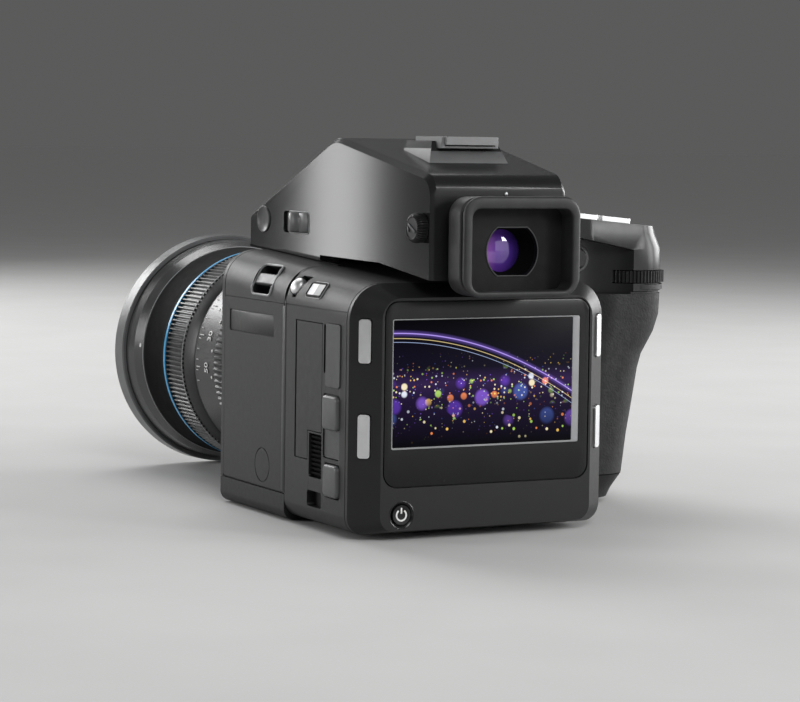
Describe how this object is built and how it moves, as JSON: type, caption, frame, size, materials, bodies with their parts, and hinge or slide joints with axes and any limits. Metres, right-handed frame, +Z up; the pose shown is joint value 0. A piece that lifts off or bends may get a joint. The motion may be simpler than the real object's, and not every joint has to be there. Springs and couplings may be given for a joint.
{
  "type": "medium format digital camera",
  "caption": "Medium format reflex camera with hand grip, digital back with rear display, prism finder with eyecup and accessory shoe, and a lens with ribbed focus ring.",
  "frame": {"origin": "mouth of the tripod socket in the base", "axes": "+Y along the lens towards the subject, +X towards the hand grip, +Z up"},
  "size_m": [0.1562, 0.2385, 0.1313],
  "materials": {
    "shell": "fine-textured satin black paint on die-cast metal",
    "cover": "satin black anodised metal",
    "base": "matt black",
    "steel": "turned steel",
    "polished": "polished",
    "lug": "satin grey anodised",
    "shoe": "brushed grey steel",
    "shoe_cover": "satin grey",
    "key_silver": "satin silver",
    "control": "matt black, knurled where turned",
    "shutter_button": "satin grey",
    "power": "satin black with a white ring-and-bar sign",
    "rubber": "fine leather-like texture",
    "eyecup": "smooth soft rubber",
    "battery": "matt black",
    "door": "satin black",
    "plate": "satin dark grey",
    "connector": "matt black",
    "window": "translucent white",
    "cover_glass": "hardened, with a dark printed border",
    "panel": "lit picture",
    "top_display": "grey reflective display glass",
    "optics": "polished, coated",
    "eyepiece": "polished, violet coating",
    "mirror": "front-silvered",
    "shutter": "dark lacquer",
    "iris": "blackened",
    "sensor": "green-grey under clear glass",
    "lens": "satin black anodised with a blue line and a grey band",
    "focus_ring": "ribbed"
  },
  "bodies": {
    "camera": {"body_shell": "shell", "back_housing": "shell", "prism_housing": "shell", "grip_top_housing": "shell", "back_rear_cover": "cover", "left_side_panel": "cover", "prism_cap": "cover", "eyepiece_plate": "cover", "base_cover": "base", "tripod_bushes": "steel", "lens_mount_ring": "steel", "release_pin": "polished", "strap_lug": "lug", "shoe_rails": "shoe", "grip_shell": "rubber", "eyecup": "eyecup", "lock_plate": "plate", "connector_block": "connector", "status_window": "window", "display_glass": "cover_glass", "display_panel": "panel", "top_display": "top_display", "front_element": "optics", "inner_elements": "optics", "pentaprism": "optics", "focusing_screen": "optics", "eyepiece_lens": "eyepiece", "shutter_frame": "shutter", "image_sensor": "sensor", "lens_barrel": "lens", "front_barrel": "lens"},
    "focus": {"focus_ring": "focus_ring"},
    "mirror": {"reflex_mirror": "mirror"},
    "blade_lower": {"shutter_blade_lower": "shutter"},
    "blade_middle": {"shutter_blade_middle": "shutter"},
    "blade_upper": {"shutter_blade_upper": "shutter"},
    "lens_release": {"lens_release_button": "control"},
    "key_left": {"top_key_left": "key_silver"},
    "key_right": {"top_key_right": "key_silver"},
    "shutter_release": {"shutter_button": "shutter_button"},
    "dial_front": {"front_dial": "control"},
    "dial_rear": {"rear_dial": "control"},
    "thumb": {"thumb_button": "control"},
    "battery": {"battery_pack": "battery"},
    "key_upper_left": {"soft_key_upper_left": "key_silver"},
    "key_lower_left": {"soft_key_lower_left": "key_silver"},
    "key_upper_right": {"soft_key_upper_right": "key_silver"},
    "key_lower_right": {"soft_key_lower_right": "key_silver"},
    "power": {"power_button": "power"},
    "door": {"card_door": "door"},
    "slider": {"lock_slider": "lug"},
    "push": {"lock_button": "lug"},
    "diopter": {"diopter_knob": "control"},
    "latch": {"prism_latch": "control"},
    "cover": {"shoe_cover": "shoe_cover"},
    "iris_1": {"iris_blade_1": "iris"},
    "iris_2": {"iris_blade_2": "iris"},
    "iris_3": {"iris_blade_3": "iris"},
    "iris_4": {"iris_blade_4": "iris"},
    "iris_5": {"iris_blade_5": "iris"}
  },
  "joints": [
    {"name": "focus_turn", "type": "hinge", "parent": "camera", "child": "focus", "pos_m": [0, 0.088, 0.0456], "axis": [0, 1, 0], "range_deg": [0, 120]},
    {"name": "iris_pivot_1", "type": "hinge", "parent": "camera", "child": "iris_1", "pos_m": [0.0293, 0.0815, 0.0456], "axis": [0, -1, 0], "range_deg": [0, 25]},
    {"name": "iris_pivot_2", "type": "hinge", "parent": "camera", "child": "iris_2", "pos_m": [0.00905, 0.0815, 0.07347], "axis": [0, -1, 0], "range_deg": [0, 25]},
    {"name": "iris_pivot_3", "type": "hinge", "parent": "camera", "child": "iris_3", "pos_m": [-0.0237, 0.0815, 0.06282], "axis": [0, -1, 0], "range_deg": [0, 25]},
    {"name": "iris_pivot_4", "type": "hinge", "parent": "camera", "child": "iris_4", "pos_m": [-0.0237, 0.0815, 0.02838], "axis": [0, -1, 0], "range_deg": [0, 25]},
    {"name": "iris_pivot_5", "type": "hinge", "parent": "camera", "child": "iris_5", "pos_m": [0.00905, 0.0815, 0.01773], "axis": [0, -1, 0], "range_deg": [0, 25]},
    {"name": "mirror_flip", "type": "hinge", "parent": "camera", "child": "mirror", "pos_m": [0, -0.0146, 0.068], "axis": [1, 0, 0], "range_deg": [0, 45]},
    {"name": "shutter_run", "type": "slide", "parent": "camera", "child": "blade_lower", "axis": [0, 0, 1], "range_m": [0, 0.0424]},
    {"name": "shutter_run_middle", "type": "slide", "parent": "camera", "child": "blade_middle", "axis": [0, 0, 1], "range_m": [0, 0.0286]},
    {"name": "shutter_run_upper", "type": "slide", "parent": "camera", "child": "blade_upper", "axis": [0, 0, 1], "range_m": [0, 0.0148]},
    {"name": "lens_release_press", "type": "slide", "parent": "camera", "child": "lens_release", "axis": [0, -1, 0], "range_m": [0, 0.002], "stiffness_N_per_m": 400},
    {"name": "top_key_left_press", "type": "slide", "parent": "camera", "child": "key_left", "axis": [-0.0943, 0, -0.9955], "range_m": [0, 0.0006], "stiffness_N_per_m": 400},
    {"name": "top_key_right_press", "type": "slide", "parent": "camera", "child": "key_right", "axis": [-0.0943, 0, -0.9955], "range_m": [0, 0.0006], "stiffness_N_per_m": 400},
    {"name": "shutter_button_press", "type": "slide", "parent": "camera", "child": "shutter_release", "axis": [-0.0943, 0, -0.9955], "range_m": [0, 0.0012], "stiffness_N_per_m": 400},
    {"name": "front_dial_turn", "type": "hinge", "parent": "camera", "child": "dial_front", "pos_m": [0.0845, 0.0336, 0.0876], "axis": [1, 0, 0], "continuous": true},
    {"name": "rear_dial_turn", "type": "hinge", "parent": "camera", "child": "dial_rear", "pos_m": [0.0925, -0.021, 0.0817], "axis": [0, 0, 1], "continuous": true},
    {"name": "thumb_button_press", "type": "slide", "parent": "camera", "child": "thumb", "axis": [0, 1, 0], "range_m": [0, 0.001], "stiffness_N_per_m": 400},
    {"name": "battery_out", "type": "slide", "parent": "camera", "child": "battery", "axis": [0, 0, -1], "range_m": [0, 0.058]},
    {"name": "soft_key_upper_left_press", "type": "slide", "parent": "camera", "child": "key_upper_left", "axis": [0.6281, 0.7781, 0], "range_m": [0, 0.0007], "stiffness_N_per_m": 400},
    {"name": "soft_key_lower_left_press", "type": "slide", "parent": "camera", "child": "key_lower_left", "axis": [0.6281, 0.7781, 0], "range_m": [0, 0.0007], "stiffness_N_per_m": 400},
    {"name": "soft_key_upper_right_press", "type": "slide", "parent": "camera", "child": "key_upper_right", "axis": [-0.6281, 0.7781, 0], "range_m": [0, 0.0007], "stiffness_N_per_m": 400},
    {"name": "soft_key_lower_right_press", "type": "slide", "parent": "camera", "child": "key_lower_right", "axis": [-0.6281, 0.7781, 0], "range_m": [0, 0.0007], "stiffness_N_per_m": 400},
    {"name": "power_button_press", "type": "slide", "parent": "camera", "child": "power", "axis": [0, 1, 0], "range_m": [0, 0.0008], "stiffness_N_per_m": 400},
    {"name": "card_door_open", "type": "hinge", "parent": "camera", "child": "door", "pos_m": [-0.047, -0.036, 0.046], "axis": [0, 0, -1], "range_deg": [0, 95]},
    {"name": "lock_slider_down", "type": "slide", "parent": "camera", "child": "slider", "axis": [0, 0, -1], "range_m": [0, 0.0085]},
    {"name": "lock_button_press", "type": "slide", "parent": "camera", "child": "push", "axis": [1, 0, 0], "range_m": [0, 0.0015], "stiffness_N_per_m": 400},
    {"name": "diopter_turn", "type": "hinge", "parent": "camera", "child": "diopter", "pos_m": [-0.02565, -0.0816, 0.1016], "axis": [-0.999, -0.0439, 0], "range_deg": [-120, 120]},
    {"name": "prism_latch_slide", "type": "slide", "parent": "camera", "child": "latch", "axis": [-0.0439, 0.999, 0], "range_m": [0, 0.004], "stiffness_N_per_m": 400},
    {"name": "shoe_cover_out", "type": "slide", "parent": "camera", "child": "cover", "axis": [0, -1, 0], "range_m": [0, 0.022]}
  ],
  "couplings": [
    {"joint": "iris_pivot_2", "follows": "iris_pivot_1", "ratio": 1},
    {"joint": "iris_pivot_3", "follows": "iris_pivot_1", "ratio": 1},
    {"joint": "iris_pivot_4", "follows": "iris_pivot_1", "ratio": 1},
    {"joint": "iris_pivot_5", "follows": "iris_pivot_1", "ratio": 1},
    {"joint": "shutter_run_middle", "follows": "shutter_run", "ratio": 0.67453},
    {"joint": "shutter_run_upper", "follows": "shutter_run", "ratio": 0.34906}
  ]
}
